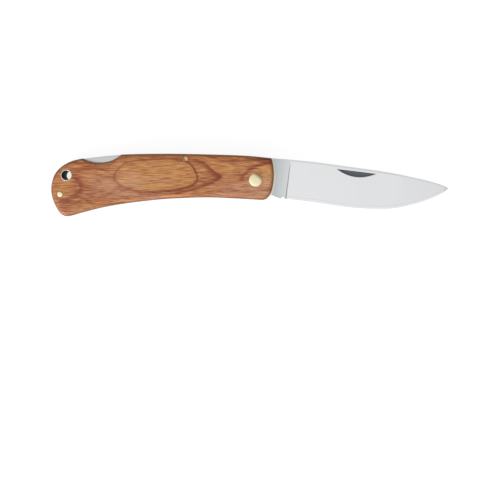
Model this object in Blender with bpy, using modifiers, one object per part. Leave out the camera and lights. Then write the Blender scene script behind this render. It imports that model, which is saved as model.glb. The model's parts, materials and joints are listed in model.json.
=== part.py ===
"""Lock-back folding knife, lying open on its side.

Metres, +Z up. X runs along the knife towards the tip of the blade, Y from the belly of the handle to its
back, and Z through its thickness. Every shape is drawn about the blade's pivot. One empty carries them all,
so that the origin lies under the centre of the open knife, on the surface it rests on.
"""

import math

import bmesh
import bpy
import numpy as np
from mathutils import Matrix, Vector
from mathutils.geometry import interpolate_bezier

MM = 0.001

# Handle, seen from the side
HANDLE_LENGTH = 104.9 * MM
HANDLE_DEPTH = 29.4 * MM
PIVOT_FROM_FRONT = 8.7 * MM
PIVOT_BELOW_BACK = 12.4 * MM
LINER_LIP = 1.25 * MM

# Layers of the handle, through its thickness
SCALE_THICKNESS = 3.8 * MM
LINER_THICKNESS = 1.0 * MM
BLADE_THICKNESS = 2.5 * MM
WASHER_THICKNESS = 0.15 * MM
SCALE_ROUNDING = 1.9 * MM
SCALE_ROUNDING_STEPS = 4

# Clearances
SEAT_GAP = 0.05 * MM
RUNNING_GAP = 0.15 * MM
OVERRUN = 2.0 * MM

# Thumb notch in the back
NOTCH_RADIUS = 15.6 * MM
NOTCH_FROM_BUTT = 22.9 * MM
NOTCH_DEPTH = 4.2 * MM

# Pins and lanyard tube
PIVOT_RADIUS = 3.15 * MM
SMALL_PIN_RADIUS = 1.3 * MM
PIN_DOME = 0.25 * MM
ROCKER_BEHIND_PIVOT = 32.9 * MM
ROCKER_BELOW_BACK = 2.3 * MM
REAR_PIN_FROM_BUTT = 4.4 * MM
REAR_PIN_BELOW_BACK = 18.9 * MM
TUBE_FROM_BUTT = 7.5 * MM
TUBE_BELOW_BACK = 10.1 * MM
TUBE_RADIUS = 2.65 * MM
TUBE_WALL = 0.42 * MM
TUBE_CHAMFER = 0.2 * MM
WASHER_RADIUS = 5.6 * MM

# Blade
PIVOT_TO_TIP = 91.8 * MM
BLADE_DEPTH = 19.3 * MM
SPINE_DROP = 14.2 * MM
SPINE_FLAT = 0.9 * MM
EDGE_BEVEL = 1.1 * MM
EDGE_SHOULDER = 0.55 * MM
EDGE_LAND = 0.06 * MM
PLUNGE_TOP_AHEAD = 16.7 * MM
PLUNGE_BOTTOM_AHEAD = 14.15 * MM
PLUNGE_WIDTH = 0.7 * MM
TAPER_FROM_SHARE = 0.8

# Tang
CAM_END_ANGLE = math.radians(305)
LOCK_WALL_BEHIND_PIVOT = 1.05 * MM
LOCK_NOTCH_WIDTH = 3.3 * MM
LOCK_NOTCH_DEPTH = 1.0 * MM
KICK_AHEAD = 11.6 * MM
KICK_BELOW = 8.6 * MM
CHOIL_AHEAD = 13.05 * MM
CHOIL_RADIUS = 0.8 * MM

# Nail nick, cut by a wheel that leaves a steep wall towards the spine
NICK_AHEAD = 48.0 * MM
NICK_BELOW_SPINE = 1.8 * MM
NICK_LENGTH = 19.2 * MM
NICK_WIDTH = 2.75 * MM
NICK_CUT = 0.5 * MM
NICK_ANGLE = math.radians(-7)
NICK_WHEEL_STEPS = 288

# Lock bar
BAR_DEPTH = 5.55 * MM
CAM_TO_BAR_GAP = 0.25 * MM
BAR_TAIL_FROM_BUTT = 15.3 * MM
BAR_TAIL_DEPTH = 2.7 * MM
BAR_TAPER_LENGTH = 20.0 * MM

# Butt spacer and the leaf spring that it holds
SPACER_GAP = 0.5 * MM
SPACER_WALL = 0.9 * MM
TUBE_LOBE_WALL = 2.4 * MM
TUBE_LOBE_ANGLES = (math.radians(-22), math.radians(-50))
PIN_LOBE_ANGLES = (math.radians(-20), math.radians(-100))
SPACER_JAW = 1.3 * MM
SLOT_LENGTH = 3.5 * MM
SLOT_BELOW_BACK = 7.6 * MM
SPRING_THICKNESS = 0.9 * MM
SPRING_FREE_LENGTH = 9.0 * MM
SPRING_TIP_LENGTH = 1.6 * MM

PIVOT_STEPS = 40
PIN_STEPS = 24
ARC_STEPS = 16
CURVE_STEPS = 4
DOME_STEPS = 3
BAR_STEPS = 24
BLADE_STEPS = 24
STATION_CROWDING = 1.5
SHARP_ANGLE = math.radians(30)
WELD = 0.0001 * MM

# The wood's outline as shares of the handle's length from the butt, and of its depth from the lowest point
BACK_SHARES = [(0.020, 0.691), (0.054, 0.812), (0.107, 0.898), (0.212, 0.956), (0.321, 0.988),
               (0.517, 1.000), (0.726, 0.988), (0.886, 0.966), (0.9895, 0.930)]
FRONT_SHARES = [(0.9895, 0.930), (0.997, 0.800), (1.000, 0.670), (0.996, 0.507), (0.986, 0.374),
                (0.967, 0.285), (0.952, 0.262)]
BELLY_SHARES = [(0.952, 0.262), (0.913, 0.268), (0.806, 0.289), (0.698, 0.302), (0.590, 0.291),
                (0.483, 0.268), (0.349, 0.213), (0.241, 0.151), (0.133, 0.057), (0.085, 0.006)]
BUTT_SHARES = [(0.085, 0.006), (0.063, 0.002), (0.041, 0.044), (0.023, 0.139), (0.006, 0.283),
               (0.000, 0.432), (0.006, 0.575), (0.020, 0.691)]
LIP_SHARES = [0.35, 0.72, 0.92, 1.0, 1.0, 0.97, 0.89, 0.74, 0.52, 0.26, 0.0]

# The blade's spine as shares of its reach past the handle, and of its drop below the handle's back
SPINE_SHARES = [(0.0, 0.0), (0.10, 0.043), (0.24, 0.126), (0.375, 0.233), (0.51, 0.340), (0.647, 0.458),
                (0.783, 0.613), (0.919, 0.800), (0.987, 0.937), (1.0, 1.0)]
# The blade's depth below its spine, along the same reach
DEPTH_SHARES = [(0.0, 0.963), (0.075, 0.975), (0.17, 0.982), (0.31, 0.997), (0.42, 1.0), (0.51, 0.982),
                (0.65, 0.903), (0.72, 0.815), (0.783, 0.697), (0.852, 0.548), (0.919, 0.366),
                (0.953, 0.247), (0.985, 0.120), (1.0, 0.0)]

INNER_WIDTH = BLADE_THICKNESS + 2 * (WASHER_THICKNESS + 2 * SEAT_GAP)
BACK_SCALE_TOP = SCALE_THICKNESS
BACK_LINER_LOW = BACK_SCALE_TOP + SEAT_GAP
BACK_LINER_TOP = BACK_LINER_LOW + LINER_THICKNESS
FRONT_LINER_LOW = BACK_LINER_TOP + INNER_WIDTH
FRONT_LINER_TOP = FRONT_LINER_LOW + LINER_THICKNESS
FRONT_SCALE_LOW = FRONT_LINER_TOP + SEAT_GAP
TOTAL_THICKNESS = FRONT_SCALE_LOW + SCALE_THICKNESS
MID_HEIGHT = TOTAL_THICKNESS / 2
BAR_HALF = INNER_WIDTH / 2 - RUNNING_GAP
SPACER_HALF = INNER_WIDTH / 2 - SEAT_GAP
BLADE_HALF = BLADE_THICKNESS / 2

BUTT_X = PIVOT_FROM_FRONT - HANDLE_LENGTH
LOWEST_Y = PIVOT_BELOW_BACK - HANDLE_DEPTH
SPINE_START_X = PIVOT_FROM_FRONT
BAR_TAIL_X = BUTT_X + BAR_TAIL_FROM_BUTT
BAR_UNDER_Y = PIVOT_BELOW_BACK - BAR_DEPTH
CAM_RADIUS = BAR_UNDER_Y - CAM_TO_BAR_GAP
REACH = PIVOT_TO_TIP - SPINE_START_X


def on_handle(shares):
    """A point of the handle's side view, from its shares of length and depth."""
    along, up = shares
    return BUTT_X + along * HANDLE_LENGTH, LOWEST_Y + up * HANDLE_DEPTH


def curve_through(points, from_point=None, to_point=None):
    """Points along a smooth curve through the given ones, which may run on from one point and to another."""
    knots = [Vector((x, y, 0)) for x, y in points]
    before = [Vector((*(from_point or points[0]), 0)), *knots[:-1]]
    after = [*knots[1:], Vector((*(to_point or points[-1]), 0))]
    headings = [(late - early).normalized() for early, late in zip(before, after)]
    path = []
    for first, last, leave, arrive in zip(knots, knots[1:], headings, headings[1:]):
        third = (last - first).length / 3
        stretch = interpolate_bezier(first, first + leave * third, last - arrive * third, last,
                                     CURVE_STEPS + 1)
        path += [(point.x, point.y) for point in stretch[:-1]]
    return [*path, tuple(knots[-1].xy)]


def arc(centre, radius, start, end, steps):
    """Points on a circle's arc, from one angle to another."""
    angles = np.linspace(start, end, steps + 1)
    return [(centre[0] + radius * math.cos(a), centre[1] + radius * math.sin(a)) for a in angles]


def circle(centre, radius, steps):
    return arc(centre, radius, 0, math.tau, steps)[:-1]


def height_on(path, x):
    """The height of a path that runs along X, where it passes x."""
    ordered = sorted(path)
    return float(np.interp(x, [p[0] for p in ordered], [p[1] for p in ordered]))


BACK_PATH = curve_through([on_handle(s) for s in BACK_SHARES], from_point=on_handle(BUTT_SHARES[-2]))
FRONT_PATH = curve_through([on_handle(s) for s in FRONT_SHARES], to_point=on_handle(BELLY_SHARES[1]))
BELLY_PATH = curve_through([on_handle(s) for s in BELLY_SHARES], from_point=on_handle(FRONT_SHARES[-2]))
BUTT_PATH = curve_through([on_handle(s) for s in BUTT_SHARES], to_point=on_handle(BACK_SHARES[1]))

NOTCH_CENTRE = (BUTT_X + NOTCH_FROM_BUTT, PIVOT_BELOW_BACK - NOTCH_DEPTH + NOTCH_RADIUS)
ROCKER = (-ROCKER_BEHIND_PIVOT, height_on(BACK_PATH, -ROCKER_BEHIND_PIVOT) - ROCKER_BELOW_BACK)
REAR_PIN = (BUTT_X + REAR_PIN_FROM_BUTT, PIVOT_BELOW_BACK - REAR_PIN_BELOW_BACK)
TUBE = (BUTT_X + TUBE_FROM_BUTT, PIVOT_BELOW_BACK - TUBE_BELOW_BACK)
PIVOT = (0, 0)


def with_thumb_notch(path):
    """The back's path with the thumb notch's arc in place of the stretch inside its circle."""
    centre = Vector(NOTCH_CENTRE)
    outside = [(Vector(p) - centre).length > NOTCH_RADIUS for p in path]
    first = outside.index(False)
    last = len(outside) - outside[::-1].index(False)

    def crossing(a, b):
        gap_a = (Vector(a) - centre).length - NOTCH_RADIUS
        gap_b = (Vector(b) - centre).length - NOTCH_RADIUS
        return Vector(a).lerp(Vector(b), gap_a / (gap_a - gap_b))

    ends = [crossing(path[first - 1], path[first]), crossing(path[last], path[last - 1])]
    start, end = (math.atan2(*reversed(point - centre)) for point in ends)
    notch = arc(NOTCH_CENTRE, NOTCH_RADIUS, start, end, ARC_STEPS)
    return path[:first] + notch + path[last:]


def handle_outline(lip=0.0):
    """The closed side view of a handle layer, whose front end may reach past the wood by a lip."""
    lips = np.interp(np.linspace(0, 1, len(FRONT_PATH)), np.linspace(0, 1, len(LIP_SHARES)), LIP_SHARES)
    front = [(x + lip * share, y) for (x, y), share in zip(FRONT_PATH, lips)]
    return with_thumb_notch(BACK_PATH)[:-1] + front[:-1] + BELLY_PATH[:-1] + BUTT_PATH[:-1]


SPINE_TOP_Y = BACK_PATH[-1][1]
SPINE_PATH = curve_through([(SPINE_START_X + a * REACH, SPINE_TOP_Y - d * SPINE_DROP)
                            for a, d in SPINE_SHARES])
DEPTH_PATH = curve_through([(SPINE_START_X + a * REACH, d * BLADE_DEPTH) for a, d in DEPTH_SHARES])


def spine_y(x):
    return height_on(SPINE_PATH, x)


def blade_depth(x):
    return max(0.0, height_on(DEPTH_PATH, x))


def edge_y(x):
    return spine_y(x) - blade_depth(x)


def blade_outline():
    """The closed side view of the blade, open: tang, kick, choil, edge, tip and spine."""
    wall_x = -LOCK_WALL_BEHIND_PIVOT
    rear_x = wall_x - LOCK_NOTCH_WIDTH
    floor_radius = CAM_RADIUS - LOCK_NOTCH_DEPTH
    top = [p for p in reversed(BACK_PATH) if p[0] > wall_x]
    top.append((wall_x, height_on(BACK_PATH, wall_x)))
    floor = arc(PIVOT, floor_radius, math.acos(wall_x / floor_radius), math.acos(rear_x / floor_radius),
                DOME_STEPS)
    cam = arc(PIVOT, CAM_RADIUS, math.acos(rear_x / CAM_RADIUS), CAM_END_ANGLE, ARC_STEPS)
    kick = (KICK_AHEAD, -KICK_BELOW)
    choil = arc((CHOIL_AHEAD, edge_y(CHOIL_AHEAD)), CHOIL_RADIUS, math.pi, 0, DOME_STEPS * 2)
    heel_x = CHOIL_AHEAD + CHOIL_RADIUS
    edge = [(x, edge_y(x)) for x in blade_stations(heel_x)]
    spine = [(x, spine_y(x)) for x in reversed(blade_stations(SPINE_START_X))]
    return top + floor + cam + [kick] + choil + edge[1:] + spine[1:]


def blade_stations(start):
    """Places along the blade from a start to the tip, closer together where the edge curves up."""
    shares = 1 - (1 - np.linspace(0, 1, BLADE_STEPS + 1)) ** STATION_CROWDING
    return [start + share * (PIVOT_TO_TIP - start) for share in shares]


def bar_outline():
    """The lock bar's side view: flush with the back, with a tooth over the tang's notch."""
    front_x = -LOCK_WALL_BEHIND_PIVOT - RUNNING_GAP
    tooth_x = -LOCK_WALL_BEHIND_PIVOT - LOCK_NOTCH_WIDTH + RUNNING_GAP
    tail_under_y = height_on(BACK_PATH, BAR_TAIL_X) - BAR_TAIL_DEPTH
    top = [(x, height_on(BACK_PATH, x)) for x in np.linspace(front_x, BAR_TAIL_X, BAR_STEPS + 1)]
    tooth_radius = CAM_RADIUS + RUNNING_GAP
    tooth = arc(PIVOT, tooth_radius, math.acos(tooth_x / tooth_radius), math.acos(front_x / tooth_radius),
                DOME_STEPS)
    taper_x = BAR_TAIL_X + BAR_TAPER_LENGTH
    return top + [(BAR_TAIL_X, tail_under_y), (taper_x, BAR_UNDER_Y), (tooth_x, BAR_UNDER_Y)] + tooth


def bar_under_y(x):
    """The height of the lock bar's underside, where its tail tapers."""
    return float(np.interp(x, *zip(*sorted(bar_outline()[BAR_STEPS + 1:BAR_STEPS + 3]))))


SLOT_Y = PIVOT_BELOW_BACK - SLOT_BELOW_BACK
SPACER_FRONT_X = BAR_TAIL_X - SPACER_GAP


def spring_outline():
    """The leaf spring's side view: its root in the slot, then a rise to the lock bar's tail."""
    root = (SPACER_FRONT_X - SLOT_LENGTH + SEAT_GAP, SLOT_Y)
    mouth = (SPACER_FRONT_X, SLOT_Y)
    contact_x = SPACER_FRONT_X + SPRING_FREE_LENGTH
    contact = (contact_x, bar_under_y(contact_x) - SEAT_GAP)
    tip_x = contact_x + SPRING_TIP_LENGTH
    tip = (tip_x, bar_under_y(tip_x) - SPRING_THICKNESS / 2)
    top = [root, *curve_through([mouth, contact, tip])]
    return top + [(x, y - SPRING_THICKNESS) for x, y in reversed(top)]


def spacer_outline():
    """The butt spacer's side view: the butt's own curve outside, and clear of the folded tip inside."""
    lobe = SMALL_PIN_RADIUS + SPACER_WALL
    tube_lobe = TUBE_RADIUS + TUBE_LOBE_WALL
    outer = [p for p in BUTT_PATH if p[1] > REAR_PIN[1] - lobe][:-1]
    outer += [p for p in BACK_PATH if p[0] < SPACER_FRONT_X]
    outer.append((SPACER_FRONT_X, height_on(BACK_PATH, SPACER_FRONT_X)))
    slot_top = SLOT_Y + SEAT_GAP
    slot_low = SLOT_Y - SPRING_THICKNESS - SEAT_GAP
    slot_end = SPACER_FRONT_X - SLOT_LENGTH
    jaws = [(SPACER_FRONT_X, slot_top), (slot_end, slot_top), (slot_end, slot_low),
            (SPACER_FRONT_X, slot_low), (SPACER_FRONT_X, slot_low - SPACER_JAW)]
    around_tube = arc(TUBE, tube_lobe, *TUBE_LOBE_ANGLES, DOME_STEPS)
    around_pin = arc(REAR_PIN, lobe, *PIN_LOBE_ANGLES, DOME_STEPS)
    return outer + jaws + around_tube + around_pin


def new_collection(name):
    made = bpy.data.collections.new(name)
    bpy.context.scene.collection.children.link(made)
    return made


def mesh_object(name, mesh, material=None, at=(0, 0, 0)):
    made = bpy.data.objects.new(name, mesh)
    (parts if material else cutters).objects.link(made)
    made.parent = carrier
    made.location = at
    if material:
        mesh.materials.clear()
        mesh.materials.append(material)
        mesh.shade_smooth()
        mesh.set_sharp_from_angle(angle=SHARP_ANGLE)
    else:
        made.hide_render = True
        made.display_type = "WIRE"
    return made


def plate_mesh(name, outline, low, high, holes=()):
    """A flat piece between two heights, from a filled flat curve, with holes through it."""
    curve = bpy.data.curves.new(name, "CURVE")
    curve.dimensions = "2D"
    curve.fill_mode = "BOTH"
    curve.extrude = (high - low) / 2
    for loop in [outline, *holes]:
        spline = curve.splines.new("POLY")
        spline.points.add(len(loop) - 1)
        for point, (x, y) in zip(spline.points, loop):
            point.co = (x, y, 0, 1)
        spline.use_cyclic_u = True
    drawn = bpy.data.objects.new(name, curve)
    cutters.objects.link(drawn)
    mesh = bpy.data.meshes.new_from_object(drawn.evaluated_get(bpy.context.evaluated_depsgraph_get()))
    bpy.data.objects.remove(drawn)
    mesh.transform(Matrix.Translation((0, 0, (low + high) / 2)))
    shape = bmesh.new()
    shape.from_mesh(mesh)
    bmesh.ops.remove_doubles(shape, verts=shape.verts, dist=WELD)
    bmesh.ops.recalc_face_normals(shape, faces=shape.faces)
    shape.to_mesh(mesh)
    shape.free()
    return mesh


def turned(name, profile, steps, material, at, closed=False):
    """A turned piece: its profile runs down the outer side, from the axis or round a closed wall."""
    mesh = bpy.data.meshes.new(name)
    count = len(profile)
    edges = [(i, (i + 1) % count) for i in range(count if closed else count - 1)]
    mesh.from_pydata([(radius, 0, height) for radius, height in profile], edges, [])
    made = mesh_object(name, mesh, material, at)
    screw = made.modifiers.new("turn", "SCREW")
    screw.steps = steps
    screw.render_steps = steps
    screw.use_merge_vertices = True
    screw.merge_threshold = WELD
    return made


def pin(name, radius, steps, material, at):
    """A pin through the whole handle, with low domes that end flush with the wood."""
    half = MID_HEIGHT
    angles = np.linspace(0, math.pi / 2, DOME_STEPS + 1)
    dome = [(radius * math.sin(a), half - PIN_DOME * (1 - math.cos(a))) for a in angles]
    profile = dome + [(r, -h) for r, h in reversed(dome)]
    return turned(name, profile, steps, material, (*at, MID_HEIGHT))


def drill(name, at, radius, steps):
    """A cutter for one round hole through the handle."""
    shape = bmesh.new()
    bmesh.ops.create_cone(shape, cap_ends=True, segments=steps, radius1=radius, radius2=radius,
                          depth=TOTAL_THICKNESS + OVERRUN)
    mesh = bpy.data.meshes.new(name)
    shape.to_mesh(mesh)
    shape.free()
    return mesh_object(name, mesh, at=(*at, MID_HEIGHT))


def cut(target, cutter):
    boolean = target.modifiers.new(cutter.name, "BOOLEAN")
    boolean.operation = "DIFFERENCE"
    boolean.solver = "EXACT"
    boolean.object = cutter


def make_scale(name, low, outer_face, material, drills):
    """A wooden slab, rounded along the outer face's edge, drilled for the pins."""
    high = low + SCALE_THICKNESS
    mesh = plate_mesh(name, handle_outline(), low, high)
    face_z = high if outer_face > 0 else low
    shape = bmesh.new()
    shape.from_mesh(mesh)
    cap = [f for f in shape.faces if all(abs(v.co.z - face_z) < WELD for v in f.verts)]
    whole = bmesh.ops.dissolve_faces(shape, faces=cap)["region"][0]
    bmesh.ops.bevel(shape, geom=list(whole.edges), offset=SCALE_ROUNDING, offset_type="OFFSET",
                    segments=SCALE_ROUNDING_STEPS, profile=0.5, affect="EDGES", clamp_overlap=False)
    bmesh.ops.recalc_face_normals(shape, faces=shape.faces)
    shape.to_mesh(mesh)
    shape.free()
    made = mesh_object(name, mesh, material)
    for cutter in drills:
        cut(made, cutter)
    return made


def make_liner(name, low, material):
    holes = [circle(PIVOT, PIVOT_RADIUS + SEAT_GAP, PIVOT_STEPS),
             circle(TUBE, TUBE_RADIUS + SEAT_GAP, PIN_STEPS),
             circle(ROCKER, SMALL_PIN_RADIUS + SEAT_GAP, PIN_STEPS),
             circle(REAR_PIN, SMALL_PIN_RADIUS + SEAT_GAP, PIN_STEPS)]
    mesh = plate_mesh(name, handle_outline(LINER_LIP), low, low + LINER_THICKNESS, holes)
    return mesh_object(name, mesh, material)


def make_lock_bar(material):
    outline = [(x - ROCKER[0], y - ROCKER[1]) for x, y in bar_outline()]
    hole = circle(PIVOT, SMALL_PIN_RADIUS + SEAT_GAP, PIN_STEPS)
    mesh = plate_mesh("lock_bar", outline, -BAR_HALF, BAR_HALF, [hole])
    return mesh_object("lock_bar", mesh, material, (*ROCKER, MID_HEIGHT))


def make_spring(material):
    mesh = plate_mesh("lock_spring", spring_outline(), -BAR_HALF, BAR_HALF)
    return mesh_object("lock_spring", mesh, material, (0, 0, MID_HEIGHT))


def make_spacer(material):
    holes = [circle(TUBE, TUBE_RADIUS + SEAT_GAP, PIN_STEPS),
             circle(REAR_PIN, SMALL_PIN_RADIUS + SEAT_GAP, PIN_STEPS)]
    mesh = plate_mesh("butt_spacer", spacer_outline(), -SPACER_HALF, SPACER_HALF, holes)
    return mesh_object("butt_spacer", mesh, material, (0, 0, MID_HEIGHT))


def make_washer(name, low, material):
    mesh = plate_mesh(name, circle(PIVOT, WASHER_RADIUS, PIVOT_STEPS), low, low + WASHER_THICKNESS,
                      [circle(PIVOT, PIVOT_RADIUS + SEAT_GAP, PIVOT_STEPS)])
    return mesh_object(name, mesh, material)


def make_lanyard_tube(material):
    inner = TUBE_RADIUS - TUBE_WALL
    mouth = inner + TUBE_CHAMFER
    profile = [(mouth, MID_HEIGHT), (TUBE_RADIUS, MID_HEIGHT), (TUBE_RADIUS, -MID_HEIGHT),
               (mouth, -MID_HEIGHT), (inner, TUBE_CHAMFER - MID_HEIGHT), (inner, MID_HEIGHT - TUBE_CHAMFER)]
    return turned("lanyard_tube", profile, PIN_STEPS, material, (*TUBE, MID_HEIGHT), closed=True)


def grind_section(x_top, x_edge, ground):
    """One station of the grind: its points on the ground surface, from above the spine to past the edge."""
    depth = blade_depth(x_edge)
    shoulder = EDGE_SHOULDER / 2
    land = EDGE_LAND / 2
    body = max(depth, TAPER_FROM_SHARE * BLADE_DEPTH) - SPINE_FLAT - EDGE_BEVEL
    slope = (BLADE_HALF - shoulder) / body
    shoulder_y = edge_y(x_edge) + EDGE_BEVEL
    top_y = max(spine_y(x_top), shoulder_y) + OVERRUN
    past_y = edge_y(x_edge) - OVERRUN
    heights = [shoulder + slope * (top_y - shoulder_y), shoulder,
               land - (shoulder - land) / EDGE_BEVEL * OVERRUN]
    if not ground:
        heights = [max(BLADE_HALF + OVERRUN / 2, h) for h in heights]
    return list(zip((x_top, x_edge, x_edge), (top_y, shoulder_y, past_y), heights))


def grind_cutter(name, side):
    """What the grinding wheel takes off one face, from the plunge line to past the tip."""
    tops = [PLUNGE_TOP_AHEAD, *blade_stations(PLUNGE_TOP_AHEAD + PLUNGE_WIDTH)]
    edges = [PLUNGE_BOTTOM_AHEAD, *blade_stations(PLUNGE_BOTTOM_AHEAD + PLUNGE_WIDTH)]
    stations = [grind_section(a, b, i > 0) for i, (a, b) in enumerate(zip(tops, edges))]
    beyond = [(x + OVERRUN, y, z) for x, y, z in stations[-1]]
    stations.append(beyond)
    roof = BLADE_HALF + OVERRUN
    shape = bmesh.new()
    rings = []
    for points in stations:
        ring = points + [(points[-1][0], points[-1][1], roof), (points[0][0], points[0][1], roof)]
        rings.append([shape.verts.new((x, y, side * z)) for x, y, z in ring])
    for near, far in zip(rings, rings[1:]):
        for i, vert in enumerate(near):
            j = (i + 1) % len(near)
            shape.faces.new((vert, near[j], far[j], far[i]))
    shape.faces.new(rings[0])
    shape.faces.new(rings[-1])
    bmesh.ops.triangulate(shape, faces=shape.faces)
    bmesh.ops.recalc_face_normals(shape, faces=shape.faces)
    mesh = bpy.data.meshes.new(name)
    shape.to_mesh(mesh)
    shape.free()
    return mesh_object(name, mesh, at=(0, 0, MID_HEIGHT))


def nick_cutter():
    """The wheel that cuts the nail nick: its flat side leaves the wall, its tilt lets the cut run out."""
    radius = (NICK_LENGTH / 2) ** 2 / (2 * NICK_CUT)
    face_slope = (BLADE_HALF - EDGE_SHOULDER / 2) / (BLADE_DEPTH - SPINE_FLAT - EDGE_BEVEL)
    tilt = math.atan(NICK_CUT / NICK_WIDTH) - math.atan(face_slope)
    wall_y = spine_y(NICK_AHEAD) - NICK_BELOW_SPINE
    face_z = BLADE_HALF - (NICK_BELOW_SPINE - SPINE_FLAT) * face_slope
    along = Vector((math.cos(NICK_ANGLE), math.sin(NICK_ANGLE), 0))
    down = Vector((along.y, -along.x, 0))
    axle = down * math.cos(tilt) + Vector((0, 0, math.sin(tilt)))
    outward = axle.cross(along)
    width = NICK_WIDTH + OVERRUN
    centre = Vector((NICK_AHEAD, wall_y, face_z)) + outward * (radius - NICK_CUT) + axle * (width / 2)
    shape = bmesh.new()
    bmesh.ops.create_cone(shape, cap_ends=True, segments=NICK_WHEEL_STEPS, radius1=radius, radius2=radius,
                          depth=width)
    mesh = bpy.data.meshes.new("nick_wheel")
    shape.to_mesh(mesh)
    shape.free()
    turn = Matrix((along, outward, axle)).transposed().to_4x4()
    mesh.transform(Matrix.Translation(centre) @ turn)
    return mesh_object("nick_wheel", mesh, at=(0, 0, MID_HEIGHT))


def make_blade(material):
    hole = circle(PIVOT, PIVOT_RADIUS + SEAT_GAP, PIVOT_STEPS)
    mesh = plate_mesh("blade", blade_outline(), -BLADE_HALF, BLADE_HALF, [hole])
    made = mesh_object("blade", mesh, material, (0, 0, MID_HEIGHT))
    for cutter in (grind_cutter("front_grind", 1), grind_cutter("back_grind", -1), nick_cutter()):
        cut(made, cutter)
    return made


def finish(name, colour, roughness, metallic):
    made = bpy.data.materials.new(name)
    made.use_nodes = True
    shader = made.node_tree.nodes["Principled BSDF"]
    shader.inputs["Base Color"].default_value = (*colour, 1)
    shader.inputs["Roughness"].default_value = roughness
    shader.inputs["Metallic"].default_value = metallic
    return made


for old in list(bpy.data.objects):
    bpy.data.objects.remove(old, do_unlink=True)

parts = new_collection("folding_knife")
cutters = new_collection("cutters")

outline_points = handle_outline(LINER_LIP) + [(PIVOT_TO_TIP, edge_y(PIVOT_TO_TIP))]
lows = [min(p[axis] for p in outline_points) for axis in (0, 1)]
highs = [max(p[axis] for p in outline_points) for axis in (0, 1)]
carrier = bpy.data.objects.new("pivot_place", None)
parts.objects.link(carrier)
carrier.location = (-(lows[0] + highs[0]) / 2, -(lows[1] + highs[1]) / 2, 0)

rosewood = finish("laminated_rosewood", (0.44, 0.19, 0.10), 0.35, 0.0)
satin_steel = finish("satin_blade_steel", (0.60, 0.60, 0.61), 0.30, 1.0)
spring_steel = finish("spring_steel", (0.52, 0.52, 0.53), 0.35, 1.0)
liner_steel = finish("liner_steel", (0.58, 0.56, 0.53), 0.35, 1.0)
brass = finish("polished_brass", (0.83, 0.66, 0.36), 0.20, 1.0)
nickel = finish("nickel_silver", (0.70, 0.66, 0.60), 0.25, 1.0)
bronze = finish("bronze", (0.50, 0.32, 0.16), 0.40, 1.0)

drills = [drill("pivot_drill", PIVOT, PIVOT_RADIUS + SEAT_GAP, PIVOT_STEPS),
          drill("rocker_drill", ROCKER, SMALL_PIN_RADIUS + SEAT_GAP, PIN_STEPS),
          drill("rear_drill", REAR_PIN, SMALL_PIN_RADIUS + SEAT_GAP, PIN_STEPS),
          drill("tube_drill", TUBE, TUBE_RADIUS + SEAT_GAP, PIN_STEPS)]

make_scale("back_scale", 0, -1, rosewood, drills)
make_scale("front_scale", FRONT_SCALE_LOW, 1, rosewood, drills)
make_liner("back_liner", BACK_LINER_LOW, liner_steel)
make_liner("front_liner", FRONT_LINER_LOW, liner_steel)
make_washer("pivot_washer_back", BACK_LINER_TOP + SEAT_GAP, bronze)
make_washer("pivot_washer_front", FRONT_LINER_LOW - SEAT_GAP - WASHER_THICKNESS, bronze)
make_blade(satin_steel)
make_lock_bar(spring_steel)
make_spring(spring_steel)
make_spacer(spring_steel)
pin("pivot_pin", PIVOT_RADIUS, PIVOT_STEPS, brass, PIVOT)
pin("rocker_pin", SMALL_PIN_RADIUS, PIN_STEPS, brass, ROCKER)
pin("rear_pin", SMALL_PIN_RADIUS, PIN_STEPS, brass, REAR_PIN)
make_lanyard_tube(nickel)
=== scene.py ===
import json
import math

import bmesh
import bpy
import numpy as np
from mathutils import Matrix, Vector
from mathutils.geometry import delaunay_2d_cdt
from numpy.linalg import norm


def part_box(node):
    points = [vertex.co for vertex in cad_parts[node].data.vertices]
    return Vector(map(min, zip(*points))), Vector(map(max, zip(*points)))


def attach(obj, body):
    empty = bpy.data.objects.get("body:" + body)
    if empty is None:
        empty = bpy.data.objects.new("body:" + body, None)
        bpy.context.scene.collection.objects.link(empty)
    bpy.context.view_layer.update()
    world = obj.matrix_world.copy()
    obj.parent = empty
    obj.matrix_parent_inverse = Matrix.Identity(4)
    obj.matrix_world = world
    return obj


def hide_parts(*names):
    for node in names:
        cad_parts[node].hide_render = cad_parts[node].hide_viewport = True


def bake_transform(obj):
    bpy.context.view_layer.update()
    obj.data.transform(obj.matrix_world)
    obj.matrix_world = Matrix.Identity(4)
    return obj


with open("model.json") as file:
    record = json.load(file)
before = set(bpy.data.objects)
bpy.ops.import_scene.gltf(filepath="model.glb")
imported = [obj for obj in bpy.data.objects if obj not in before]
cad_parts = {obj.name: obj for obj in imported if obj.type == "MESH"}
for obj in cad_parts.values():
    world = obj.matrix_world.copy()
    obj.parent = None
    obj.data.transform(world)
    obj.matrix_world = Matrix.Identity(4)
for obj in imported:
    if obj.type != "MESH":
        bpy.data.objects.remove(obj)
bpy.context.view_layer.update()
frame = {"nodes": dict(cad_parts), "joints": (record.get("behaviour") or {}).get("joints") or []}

MM = 0.001

# The picture: the width that it takes in at the front wood's height, and where its middle falls.
VIEW_WIDTH = 235.0 * MM
VIEW_HEIGHT = 11.7 * MM
VIEW_MIDDLE = Vector((-0.34, -30.6)) * MM
CAMERA_PLACE = Vector((-0.34, -2.4)) * MM
CAMERA_ABOVE = 425.0 * MM
SENSOR_WIDTH = 36.0
CLIP_NEAR = 0.01
CLIP_FAR = 10.0

# The white table.
TABLE_REACH = 3.0
TABLE_LEVEL = -0.02 * MM
TABLE_GREY = 0.24
TABLE_GLOW = 0.86

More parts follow.
